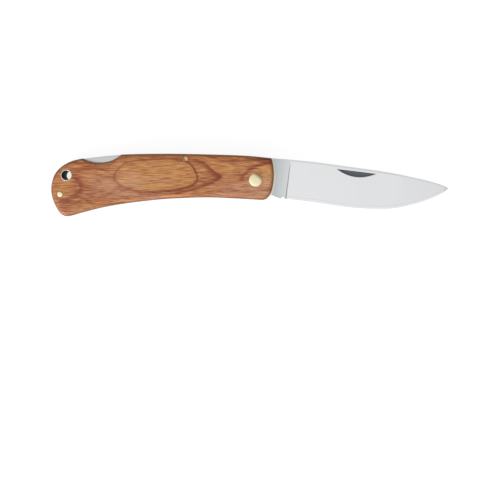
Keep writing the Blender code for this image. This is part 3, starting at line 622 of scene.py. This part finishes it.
class BladeForm:
    """The blade's outline from the frame and its ground faces, level, with the pivot as the origin."""

    def __init__(self):
        low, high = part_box("blade")
        self.middle = (low.z + high.z) / 2
        self.half = (high.z - low.z) / 2
        self.pivot = np.array(pivot_place())
        self.loops = [loop - self.pivot for loop in outlines_of("blade", self.middle)]
        outer = np.roll(self.loops[0], -self.loops[0][:, 0].argmax(), axis=0)
        self.loops[0] = outer
        self.tip_x = outer[0, 0]
        count = len(outer) // 2
        upper, lower = [run[run[:, 0] > PLUNGE_BOTTOM_AHEAD] for run in (outer[:count], outer[count:])]
        self.upper = upper[np.argsort(upper[:, 0])]
        self.lower = np.concatenate([lower[np.argsort(lower[:, 0])], outer[:1]])
        stations = np.linspace(PLUNGE_BOTTOM_AHEAD, self.tip_x, DEPTH_STATIONS)
        self.full_depth = (self.spine_y(stations) - self.edge_y(stations)).max()
        self.plunge_top = self.spine_y(PLUNGE_TOP_AHEAD)
        self.plunge_bottom = self.edge_y(PLUNGE_BOTTOM_AHEAD)
        self.nick_middle = np.array((NICK_AHEAD, self.spine_y(NICK_AHEAD) - NICK_BELOW_SPINE))
        self.along = np.array((math.cos(NICK_ANGLE), math.sin(NICK_ANGLE)))
        self.down = np.array((self.along[1], -self.along[0]))

    def spine_y(self, x):
        """The height of the back of the blade."""
        return np.interp(x, self.upper[:, 0], self.upper[:, 1])

    def edge_y(self, x):
        """The height of the cutting edge."""
        return np.interp(x, self.lower[:, 0], self.lower[:, 1])

    def ground_half(self, x, y):
        """Half the thickness of the flat grind and the cutting bevel."""
        here = self.spine_y(x) - self.edge_y(x)
        body = np.maximum(here, TAPER_FROM_SHARE * self.full_depth) - SPINE_FLAT - EDGE_BEVEL
        slope = (self.half - EDGE_SHOULDER) / body
        above = y - self.edge_y(x) - EDGE_BEVEL
        flat = EDGE_SHOULDER + slope * above
        bevel = EDGE_SHOULDER + above * (EDGE_SHOULDER - EDGE_LAND) / EDGE_BEVEL
        return np.minimum(self.half, np.where(above > 0, flat, np.maximum(bevel, EDGE_LAND)))

    def plunge(self, y):
        """Where the plunge line begins at a height, and how wide it is there."""
        up = np.clip((y - self.plunge_bottom) / (self.plunge_top - self.plunge_bottom), 0, 1)
        return (PLUNGE_BOTTOM_AHEAD + up * (PLUNGE_TOP_AHEAD - PLUNGE_BOTTOM_AHEAD),
                PLUNGE_WIDTH_BOTTOM + up * (PLUNGE_WIDTH_TOP - PLUNGE_WIDTH_BOTTOM))

    def plunge_share(self, x, y):
        """How far each place is across the plunge line: 0 on the tang, 1 on the ground face."""
        begins, width = self.plunge(y)
        return np.clip((x - begins) / width, 0, 1)

    def half_at(self, x, y):
        """Half the thickness of the whole blade, with no nick."""
        share = self.plunge_share(x, y)
        share = share * share * (3 - 2 * share)
        return self.half + (self.ground_half(x, y) - self.half) * share

    def nick_depth(self, x, y):
        """How deep the nail nick is cut, from a steep wall above to nothing below."""
        away = np.stack([x, y], axis=-1) - self.nick_middle
        u = away @ self.along
        v = away @ self.down
        at_wall = NICK_CUT * (1 - (u / (NICK_LENGTH / 2)) ** 2)
        floor = at_wall - np.maximum(v, 0) * NICK_CUT / NICK_WIDTH
        return np.where(v >= -ON_NICK_WALL, np.maximum(floor, 0), 0)

    def lines(self):
        """All the lines that the mesh follows, and those of them that stay sharp."""
        x = np.linspace(PLUNGE_TOP_AHEAD, self.tip_x - FLAT_LINE_SHORT, FLAT_LINE_STEPS)
        flat = np.stack([x, self.spine_y(x) - SPINE_FLAT], axis=1)
        x = np.linspace(PLUNGE_BOTTOM_AHEAD + SHOULDER_LINE_START, self.tip_x - SHOULDER_LINE_SHORT,
                        SHOULDER_LINE_STEPS)
        shoulder = np.stack([x, self.edge_y(x) + EDGE_BEVEL], axis=1)
        flat = flat[flat[:, 1] > shoulder[-1, 1]]
        y = np.linspace(self.plunge_bottom + PLUNGE_INSET, self.plunge_top - PLUNGE_INSET, PLUNGE_STEPS)
        begins, width = self.plunge(y)
        plunge = [np.stack([begins + width * share, y], axis=1) for share in np.linspace(0, 1, PLUNGE_LINES)]
        u = np.linspace(-NICK_LENGTH / 2, NICK_LENGTH / 2, NICK_STEPS)
        belly = NICK_WIDTH * (1 - (u / (NICK_LENGTH / 2)) ** 2)
        top = self.nick_middle + u[:, None] * self.along
        bottom = top + belly[:, None] * self.down
        lip = top[1:-1] - (NICK_LIP * belly[1:-1] / NICK_WIDTH)[:, None] * self.down
        sharp = [flat, shoulder, top, bottom, plunge[0], plunge[-1]]
        return [flat, shoulder, *plunge, top, bottom, lip], sharp


def make_blade(material):
    """The blade: tang, plunge line, flat grind, cutting bevel and nail nick, on one closed mesh."""
    form = BladeForm()
    lines, sharp_lines = form.lines()
    spread = grid_points(form.loops, BLADE_GRID, BLADE_RIM_MARGIN)
    for line in lines:
        spread = spread[gap_and_side(spread, line)[0] > LINE_MARGIN]
    points, faces = fill(form.loops, spread, lines)
    x, y = points.T
    thick = form.half_at(x, y)
    front = thick - form.nick_depth(x, y)
    count = len(points)
    verts = [(*place, form.middle + z) for place, z in zip(points + form.pivot, front)]
    verts += [(*place, form.middle - z) for place, z in zip(points + form.pivot, thick)]
    edges = {(i, j) for a, b, c in faces for i, j in ((a, b), (b, c), (c, a))}
    faces += [(c + count, b + count, a + count) for a, b, c in faces]
    faces += [(j, i, i + count, j + count) for i, j in sorted(edges) if (j, i) not in edges]
    piece = new_piece("blade", verts, faces, [material], BLADE_SMOOTH)
    sharpen(piece, [line + form.pivot for line in sharp_lines])
    places = places_of(piece)
    x, y = (places[:, :2] - form.pivot).T
    # Painted shade: the tang is stored as a ramp from the wood's front end to the plunge line, so that the
    # steel can be painted darker and bluer next to the handle, standing for the shade and dark reflection
    # there.
    wood_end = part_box("front_scale")[1].x - form.pivot[0]
    store(piece, "ground", form.plunge_share(x, y))
    store(piece, "tang", np.clip((x - wood_end) / (form.plunge(y)[0] - wood_end), 0, 1))
    above_edge = (y - form.edge_y(x)) / EDGE_BEVEL
    store(piece, "bevel", np.where(x > PLUNGE_BOTTOM_AHEAD, above_edge, FAR_FROM_EDGE))
    below_spine = (form.spine_y(x) - y) / SPINE_FLAT
    store(piece, "spine", np.where(x > PLUNGE_TOP_AHEAD, below_spine, FAR_FROM_EDGE))
    # The nick's depth, by which the steel paints shade into the nick.
    store(piece, "nick", form.nick_depth(x, y) / NICK_CUT * (places[:, 2] > form.middle))
    return piece


class Wiring:
    """A node tree, with a short call for each kind of node that it is often wired from."""

    def __init__(self, tree):
        self.tree = tree

    def give(self, node, values):
        """Links a node's inputs to the outputs that are given for them, or sets them to a constant."""
        for key, value in values.items():
            if isinstance(value, bpy.types.NodeSocket):
                self.tree.links.new(value, node.inputs[key])
            else:
                node.inputs[key].default_value = value

    def add(self, kind, values=None, **settings):
        """A new node with its settings and its inputs."""
        node = self.tree.nodes.new(kind)
        for name, setting in settings.items():
            setattr(node, name, setting)
        self.give(node, values or {})
        return node

    def stretched_noise(self, scale, detail, roughness=0.55):
        """Noise stretched along the knife, from Object coordinates. The scale is cycles a metre each way."""
        place = self.add("ShaderNodeTexCoord").outputs["Object"]
        mapping = self.add("ShaderNodeMapping", {"Scale": scale, "Vector": place})
        return self.add("ShaderNodeTexNoise", {
            "Scale": 1.0, "Detail": detail, "Roughness": roughness,
            "Vector": mapping.outputs[0]}).outputs["Fac"]

    def between(self, value, start, end, low=0.0, high=1.0):
        """A value brought from one range to another, and held within it."""
        return self.add("ShaderNodeMapRange", {
            "Value": value, "From Min": start, "From Max": end,
            "To Min": low, "To Max": high}).outputs["Result"]

    def blended(self, share, first, second):
        """Two colours mixed by a share from 0 to 1."""
        first, second = [(*value, 1.0) if isinstance(value, tuple) else value for value in (first, second)]
        mix = self.add("ShaderNodeMix", data_type="RGBA")
        self.give(mix, {"Factor": share, "A": first, "B": second})
        return mix.outputs["Result"]

    def stored(self, name):
        """A number that is kept on the mesh."""
        return self.add("ShaderNodeAttribute", attribute_name=name).outputs["Fac"]

    def calculated(self, operation, a, b=None):
        """One step of arithmetic."""
        values = {0: a} if b is None else {0: a, 1: b}
        return self.add("ShaderNodeMath", values, operation=operation).outputs[0]

    def dented(self, height, distance, strength):
        """A normal that shows marks too fine for the mesh."""
        values = {"Distance": distance, "Strength": strength, "Height": height}
        return self.add("ShaderNodeBump", values).outputs["Normal"]


def turned_pin_tree():
    """A round pin with a low dome on each end, from its radius, length, dome and rim."""
    tree = bpy.data.node_groups.new("turned_pin", "GeometryNodeTree")
    tree.interface.new_socket("Geometry", in_out="OUTPUT", socket_type="NodeSocketGeometry")
    for name, kind in (("Radius", "Float"), ("Length", "Float"), ("Dome", "Float"), ("Rim", "Float"),
                       ("Place", "Vector"), ("Steps", "Int"), ("Finish", "Material")):
        tree.interface.new_socket(name, in_out="INPUT", socket_type="NodeSocket" + kind)
    wire = Wiring(tree)
    maths = wire.calculated
    given = wire.add("NodeGroupInput").outputs
    body = wire.add("GeometryNodeMeshCylinder", {
        "Fill Segments": PIN_RINGS, "Vertices": given["Steps"], "Radius": given["Radius"],
        "Depth": given["Length"]})
    place = wire.add("GeometryNodeInputPosition").outputs[0]
    x, y, z = wire.add("ShaderNodeSeparateXYZ", {0: place}).outputs
    reach = maths("SQRT", maths("ADD", maths("MULTIPLY", x, x), maths("MULTIPLY", y, y)))
    share = maths("DIVIDE", reach, given["Radius"])
    dome = maths("MULTIPLY", given["Dome"], maths("POWER", share, PIN_DOME_POWER))
    rim = maths("MULTIPLY", given["Rim"], maths("POWER", share, PIN_RIM_POWER))
    drop = maths("MULTIPLY", maths("SIGN", z), maths("MULTIPLY", maths("ADD", dome, rim), -1.0))
    shift = wire.add("ShaderNodeCombineXYZ", {"Z": drop}).outputs[0]
    shape = wire.add("GeometryNodeSetPosition", {"Geometry": body.outputs["Mesh"], "Offset": shift})
    put = wire.add("GeometryNodeTransform", {"Geometry": shape.outputs[0], "Translation": given["Place"]})
    real = wire.add("GeometryNodeRealizeInstances", {0: put.outputs[0]})
    paint = wire.add("GeometryNodeSetMaterial", {"Geometry": real.outputs[0], "Material": given["Finish"]})
    wire.add("NodeGroupOutput", {0: paint.outputs[0]})
    return tree


def grown(name, tree, inputs):
    """The plain mesh that a geometry tree makes from its named inputs."""
    holder = in_scene(name, bpy.data.meshes.new(name))
    modifier = holder.modifiers.new("tree", "NODES")
    modifier.node_group = tree
    sockets = {item.name: item.identifier for item in tree.interface.items_tree
               if item.item_type == "SOCKET" and item.in_out == "INPUT"}
    for key, value in inputs.items():
        modifier[sockets[key]] = value
    bpy.context.view_layer.update()
    graph = bpy.context.evaluated_depsgraph_get()
    mesh = bpy.data.meshes.new_from_object(holder.evaluated_get(graph))
    holder.modifiers.remove(modifier)
    holder.data = mesh
    return holder


def make_pin(node, tree, wood_outline, material):
    """A pin in the frame's place, its ends following the wood's rounding beside it."""
    low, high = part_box(node)
    middle = (low + high) / 2
    radius = (high.x - low.x) / 2
    piece = grown(node + "_dressed", tree, {
        "Radius": radius, "Length": high.z - low.z, "Dome": PIN_DOME_SHARE * radius, "Rim": PIN_RIM,
        "Place": middle, "Steps": HOLE_STEPS, "Finish": material})
    places = places_of(piece)
    places[:, 2] -= np.sign(places[:, 2] - middle.z) * rounded_drop(gap_to(places[:, :2], wood_outline))
    piece.data.vertices.foreach_set("co", places.astype(np.float32).ravel())
    piece.data.update()
    piece.data.shade_smooth()
    piece.data.set_sharp_from_angle(angle=PIN_SMOOTH)
    # Painted shade: one side of the head is stored as its dark side, which the brass paints darker; on the
    # pivot and rear pins it stands for the dark reflection on the dome's upper-right slope.
    away = (places[:, :2] - np.array(middle.xy)) / radius
    side, start, full = PIN_PAINTED_DARK_SIDE[node]
    store(piece, "painted_dark_side", np.interp(away @ np.array(side), (start, full), (0, 1)))
    return piece


def make_tube(material, bore_material):
    """The lanyard tube: rounded rims and a bore painted near black as painted shade."""
    low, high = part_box("lanyard_tube")
    middle = (low + high) / 2
    outer = (high.x - low.x) / 2
    inner = outer - TUBE_WALL
    turn = [i / TUBE_RIM_STEPS * math.pi / 2 for i in range(TUBE_RIM_STEPS + 1)]
    rim = TUBE_RIM
    profile = [(outer - rim + rim * math.cos(t), high.z - rim + rim * math.sin(t)) for t in turn]
    profile += [(inner + rim - rim * math.sin(t), high.z - rim + rim * math.cos(t)) for t in turn]
    profile += [(r, low.z + high.z - z) for r, z in reversed(profile)]
    verts = []
    faces = []
    count = len(profile)
    for i in range(HOLE_STEPS):
        angle = 2 * math.pi * i / HOLE_STEPS
        verts += [(middle.x + r * math.cos(angle), middle.y + r * math.sin(angle), z) for r, z in profile]
        j = (i + 1) % HOLE_STEPS
        faces += [(i * count + k, j * count + k, j * count + (k + 1) % count, i * count + (k + 1) % count)
                  for k in range(count)]
    piece = new_piece("lanyard_tube", verts, faces, [material, bore_material])
    for face in piece.data.polygons:
        if (face.center.xy - middle.xy).length < inner + WELD:
            face.material_index = 1
    return piece


def new_material(name):
    """A new material, the wiring of its tree, and its shader."""
    made = bpy.data.materials.new(name)
    made.use_nodes = True
    return made, Wiring(made.node_tree), made.node_tree.nodes["Principled BSDF"]


def rosewood():
    """Resin-soaked laminated wood: red-brown with fine lengthwise fibres, dark seams and soft patches, and
    darker along its outline, partly as painted shade on the rounded edge.
    """
    made, wire, shader = new_material("laminated_rosewood_polished")
    streak = wire.stretched_noise((80, 1350, 1350), 4, 0.62)
    fibre = wire.stretched_noise((190, 2900, 2900), 3, 0.6)
    pore = wire.stretched_noise((420, 2600, 2600), 1)
    cloud = wire.stretched_noise((60, 170, 170), 3)
    band = wire.stretched_noise((28, 480, 480), 3)
    tone = wire.blended(wire.between(streak, 0.40, 0.60), (0.355, 0.110, 0.036), (0.550, 0.238, 0.090))
    tone = wire.blended(wire.between(band, 0.50, 0.70, 0.0, 0.5), tone, (0.61, 0.295, 0.115))
    tone = wire.blended(wire.between(cloud, 0.45, 0.75, 0.0, 0.5), tone, (0.35, 0.105, 0.036))
    for tint, noise, start, end, low, high, colour in (
            ("amber", cloud, 0.3, 0.6, 0.6, 0.9, (0.565, 0.285, 0.085)),
            ("pink", streak, 0.35, 0.65, 0.55, 0.9, (0.56, 0.315, 0.205)),
            ("mauve", streak, 0.35, 0.65, 0.8, 0.6, (0.31, 0.110, 0.080)),
            ("orange", streak, 0.35, 0.65, 0.6, 0.9, (0.54, 0.190, 0.048)),
            ("russet", streak, 0.35, 0.65, 0.95, 0.7, (0.300, 0.056, 0.028))):
        share = wire.calculated("MULTIPLY", wire.stored(tint), wire.between(noise, start, end, low, high))
        tone = wire.blended(share, tone, colour)
    tone = wire.blended(wire.between(fibre, 0.50, 0.64, 0.0, 0.70), tone, (0.23, 0.055, 0.018))
    tone = wire.blended(wire.between(fibre, 0.48, 0.36, 0.0, 0.5), tone, (0.68, 0.38, 0.175))
    frayed = wire.calculated("ADD", wire.stored("seam"), wire.between(fibre, 0.35, 0.65, -0.14, 0.14))
    tone = wire.blended(wire.between(frayed, 0.10, 0.88, 0.0, 0.92), tone, (0.205, 0.041, 0.014))
    tone = wire.blended(wire.between(pore, 0.68, 0.75, 0.0, 0.6), tone, (0.12, 0.028, 0.010))
    # Painted shade, partly real: the rim darkens the wood along its outline, standing for the shade on the
    # rounded edge as well as the veneers cut there; the grain breaks it up.
    rim = wire.calculated("MULTIPLY", wire.stored("rim"), wire.between(streak, 0.40, 0.60, 1.0, 0.85))
    wire.give(shader, {
        "Base Color": wire.blended(rim, tone, (0.085, 0.024, 0.012)),
        "Specular IOR Level": 0.3, "Coat Weight": 0.08, "Coat Roughness": 0.2,
        "Roughness": wire.between(fibre, 0.3, 0.7, 0.32, 0.44),
        "Normal": wire.dented(fibre, 0.02 * MM, 0.2)})
    return made


def satin_steel():
    """Blade steel: a satin grind with fine lines from spine to edge, a duller tang painted darker next to
    the handle as painted shade, a bright bevel with a painted dark shoulder line, and painted shade in the
    nail nick.
    """
    made, wire, shader = new_material("satin_blade_steel_ground")
    lines = wire.stretched_noise((3600, 130, 130), 2, 0.5)
    broad = wire.stretched_noise((160, 60, 60), 2)
    from_edge = wire.stored("bevel")
    nick = wire.stored("nick")
    # Painted shade, partly real: the tang is painted darker and bluer than the ground face, darkest next to
    # the handle, standing for the shade and darker reflection there as well as its plainer finish.
    tone = wire.blended(wire.stored("tang"), (0.58, 0.625, 0.645), (0.82, 0.83, 0.83))
    tone = wire.blended(wire.stored("ground"), tone, (0.92, 0.925, 0.925))
    tone = wire.blended(wire.between(lines, 0.3, 0.7, 0.0, 0.04), tone, (0.70, 0.71, 0.73))
    tone = wire.blended(wire.between(broad, 0.3, 0.7, 0.0, 0.12), tone, (0.78, 0.79, 0.81))
    bevel = wire.between(from_edge, 0.98, 1.02, 1.0, 0.0)
    tone = wire.blended(wire.calculated("MULTIPLY", bevel, 0.8), tone, (0.90, 0.905, 0.91))
    # Painted shade: a thin dark line painted along the shoulder of the cutting bevel, standing for the
    # shading of that crease.
    shoulder = wire.calculated("MULTIPLY", wire.between(from_edge, 1.0, 1.02),
                               wire.between(from_edge, 1.25, 1.45, 0.22, 0.0))
    tone = wire.blended(shoulder, tone, (0.60, 0.61, 0.63))
    spine = wire.between(wire.stored("spine"), 0.96, 1.04, 1.0, 0.0)
    tone = wire.blended(wire.calculated("MULTIPLY", spine, 0.45), tone, (0.72, 0.73, 0.74))
    # Painted shade: the nail nick is painted near black, standing for the shade in that recess.
    painted_nick_shade = wire.blended(wire.between(nick, 0.1, 0.6), (0.075, 0.080, 0.098), (0.15, 0.16, 0.19))
    tone = wire.blended(wire.between(nick, 0.0, 0.08, 0.0, 0.95), tone, painted_nick_shade)
    roughness = wire.calculated("MULTIPLY", wire.between(lines, 0.3, 0.7, 0.25, 0.27),
                                wire.between(bevel, 0.0, 1.0, 1.0, 0.45))
    wire.give(shader, {
        "Base Color": tone, "Metallic": 1.0, "Roughness": roughness,
        "Normal": wire.dented(lines, 0.0002 * MM, 0.1)})
    return made


def plain_steel(name, colour, worn, roughness, marks=LONG_MARKS, painted_dark_side=None):
    """A finished metal with faint rolling or polishing marks and a little tone change, and, where a colour
    for it is given, a pin head's stored dark side painted in it: painted shade on the pivot and rear pins.
    """
    made, wire, shader = new_material(name)
    lines = wire.stretched_noise(marks, 3, 0.6)
    cloud = wire.stretched_noise((350, 350, 350), 3)
    tone = wire.blended(wire.between(cloud, 0.35, 0.75, 0.0, 0.5), colour, worn)
    tone = wire.blended(wire.between(lines, 0.35, 0.7, 0.0, 0.25), tone, worn)
    # Painted shade: the stored dark side of a pin's head is painted in this colour.
    if painted_dark_side is not None:
        share = wire.calculated("MULTIPLY", wire.stored("painted_dark_side"), 0.9)
        tone = wire.blended(share, tone, painted_dark_side)
    wire.give(shader, {
        "Base Color": tone, "Metallic": 1.0, "Normal": wire.dented(lines, 0.004 * MM, 0.2),
        "Roughness": wire.between(lines, 0.3, 0.7, roughness * 0.85, roughness * 1.2)})
    return made


def painted_shade_bore():
    """The tube's bore, painted near black as painted shade for its unlit inside."""
    made, wire, shader = new_material("tube_bore_painted_shade")
    cloud = wire.between(wire.stretched_noise((900, 900, 300), 3), 0.35, 0.7)
    # Painted shade: near black, standing for the shade inside the bore.
    wire.give(shader, {
        "Base Color": wire.blended(cloud, (0.006, 0.006, 0.005), (0.020, 0.018, 0.016)),
        "Metallic": 0.0, "Specular IOR Level": 0.2, "Roughness": 0.7})
    return made


def white_floor():
    """A white table top that stays white in the picture and in reflections, and takes the shadow."""
    made, wire, shader = new_material("white_table")
    path = wire.add("ShaderNodeLightPath").outputs
    seen = wire.calculated("MAXIMUM", path["Is Camera Ray"], path["Is Glossy Ray"])
    seen = wire.calculated("MAXIMUM", seen, path["Is Transmission Ray"])
    wire.give(shader, {
        "Base Color": (TABLE_GREY, TABLE_GREY, TABLE_GREY, 1), "Roughness": 0.8,
        "Emission Color": (1, 1, 1, 1), "Emission Strength": wire.calculated("MULTIPLY", seen, TABLE_GLOW)})
    return made


def set_stage():
    """The table top that the knife lies on."""
    mesh = bpy.data.meshes.new("table_top")
    ends = (-TABLE_REACH, TABLE_REACH)
    corners = [(x, y, TABLE_LEVEL) for y in ends for x in ends]
    mesh.from_pydata(corners, [], [(0, 1, 3, 2)])
    mesh.materials.append(white_floor())
    floor = in_scene("table_top", mesh)


def set_light():
    """An even studio sky that is bright overhead and in front and darker behind, and one soft lamp."""
    world = bpy.data.worlds.new("studio_sky")
    bpy.context.scene.world = world
    world.use_nodes = True
    wire = Wiring(world.node_tree)
    place = wire.add("ShaderNodeTexCoord").outputs["Generated"]
    towards = wire.add("ShaderNodeVectorMath", {0: place, 1: SKY_KEY}, operation="DOT_PRODUCT")
    ramp = wire.add("ShaderNodeValToRGB", {"Fac": towards.outputs["Value"]})
    stops = ramp.color_ramp.elements
    while len(stops) < len(SKY_STEPS):
        stops.new(0.5)
    for stop, (at, level) in zip(stops, SKY_STEPS):
        stop.position = at
        stop.color = (level, level, level * SKY_BLUE, 1)
    seen = wire.add("ShaderNodeLightPath").outputs["Is Camera Ray"]
    shown = wire.blended(seen, ramp.outputs["Color"], (1.0, 1.0, 1.0))
    wire.give(world.node_tree.nodes["Background"], {"Color": shown, "Strength": 1.0})
    lamp = bpy.data.lights.new("soft_lamp", "AREA")
    lamp.shape = "DISK"
    lamp.size = LAMP_SIZE
    lamp.energy = LAMP_POWER
    holder = in_scene("soft_lamp", lamp)
    holder.location = LAMP_PLACE
    holder.rotation_mode = "QUATERNION"
    holder.rotation_quaternion = (-holder.location).to_track_quat("-Z", "Y")


def set_camera():
    """The camera, high above the knife, tilted so that the picture falls as in the photo."""
    camera = bpy.data.cameras.new("picture")
    holder = in_scene("picture", camera)
    stand = Vector((*CAMERA_PLACE, VIEW_HEIGHT + CAMERA_ABOVE))
    aim = Vector((*VIEW_MIDDLE, VIEW_HEIGHT))
    holder.location = stand
    holder.rotation_euler = (math.atan2(aim.y - stand.y, stand.z - aim.z), 0, 0)
    pivot = Vector((*pivot_place(), VIEW_HEIGHT))
    depth = (pivot - stand).dot((aim - stand).normalized())
    camera.sensor_width = SENSOR_WIDTH
    camera.lens = SENSOR_WIDTH * depth / VIEW_WIDTH
    camera.clip_start = CLIP_NEAR
    camera.clip_end = CLIP_FAR
    bpy.context.scene.camera = holder


def dress(piece, node, body):
    """Puts a piece in its node's place and on a body."""
    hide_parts(node)
    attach(piece, body)


set_camera()
set_stage()
set_light()

wood = rosewood()
blade_steel = satin_steel()
bar_steel = plain_steel("spring_steel_ground", (0.80, 0.80, 0.79), (0.70, 0.71, 0.71), 0.30)
sheet_steel = plain_steel("liner_steel_polished", (0.95, 0.86, 0.73), (0.87, 0.78, 0.65), 0.36)
# The last colour given for each brass is the painted dark side of the pins' heads, painted shade on the
# pivot and rear pins.
brass = plain_steel("polished_brass_flush", (1.0, 0.92, 0.62), (1.0, 0.87, 0.53), 0.36, EVEN_MARKS,
                    (0.27, 0.195, 0.06))
worn_brass = plain_steel("tarnished_brass_flush", (0.95, 0.64, 0.38), (0.86, 0.56, 0.31), 0.34, EVEN_MARKS,
                         (0.30, 0.17, 0.06))
nickel = plain_steel("nickel_silver_rim", (0.84, 0.74, 0.64), (0.66, 0.56, 0.47), 0.34, EVEN_MARKS)
washer_bronze = plain_steel("bronze_rolled", (0.62, 0.40, 0.20), (0.42, 0.26, 0.13), 0.38)

for node, outward, shift in (("front_scale", 1, (0, 0)), ("back_scale", -1, BACK_PATTERN_SHIFT)):
    dress(make_scale(node, outward, shift, wood), node, "handle")
dress(make_blade(blade_steel), "blade", "blade")
for node in ("front_liner", "back_liner"):
    dress(rounded_plate(node, LINER_RIM, sheet_steel), node, "handle")
for node, body in (("lock_bar", "lock_bar"), ("butt_spacer", "handle")):
    dress(rounded_plate(node, BAR_RIM, bar_steel), node, body)
spring = rounded_plate("lock_spring", SPRING_RIM, bar_steel)
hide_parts("lock_spring")
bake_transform(spring)
for node in ("pivot_washer_front", "pivot_washer_back"):
    dress(rounded_plate(node, WASHER_RIM, washer_bronze), node, "handle")
pin_tree = turned_pin_tree()
wood_outline = outlines_of("front_scale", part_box("front_scale")[0].z + WOOD_CUT_HEIGHT)[0]
for node, finish in (("pivot_pin", brass), ("rocker_pin", worn_brass), ("rear_pin", brass)):
    dress(make_pin(node, pin_tree, wood_outline, finish), node, "handle")
dress(make_tube(nickel, painted_shade_bore()), "lanyard_tube", "handle")

bpy.context.scene.view_settings.view_transform = "Standard"
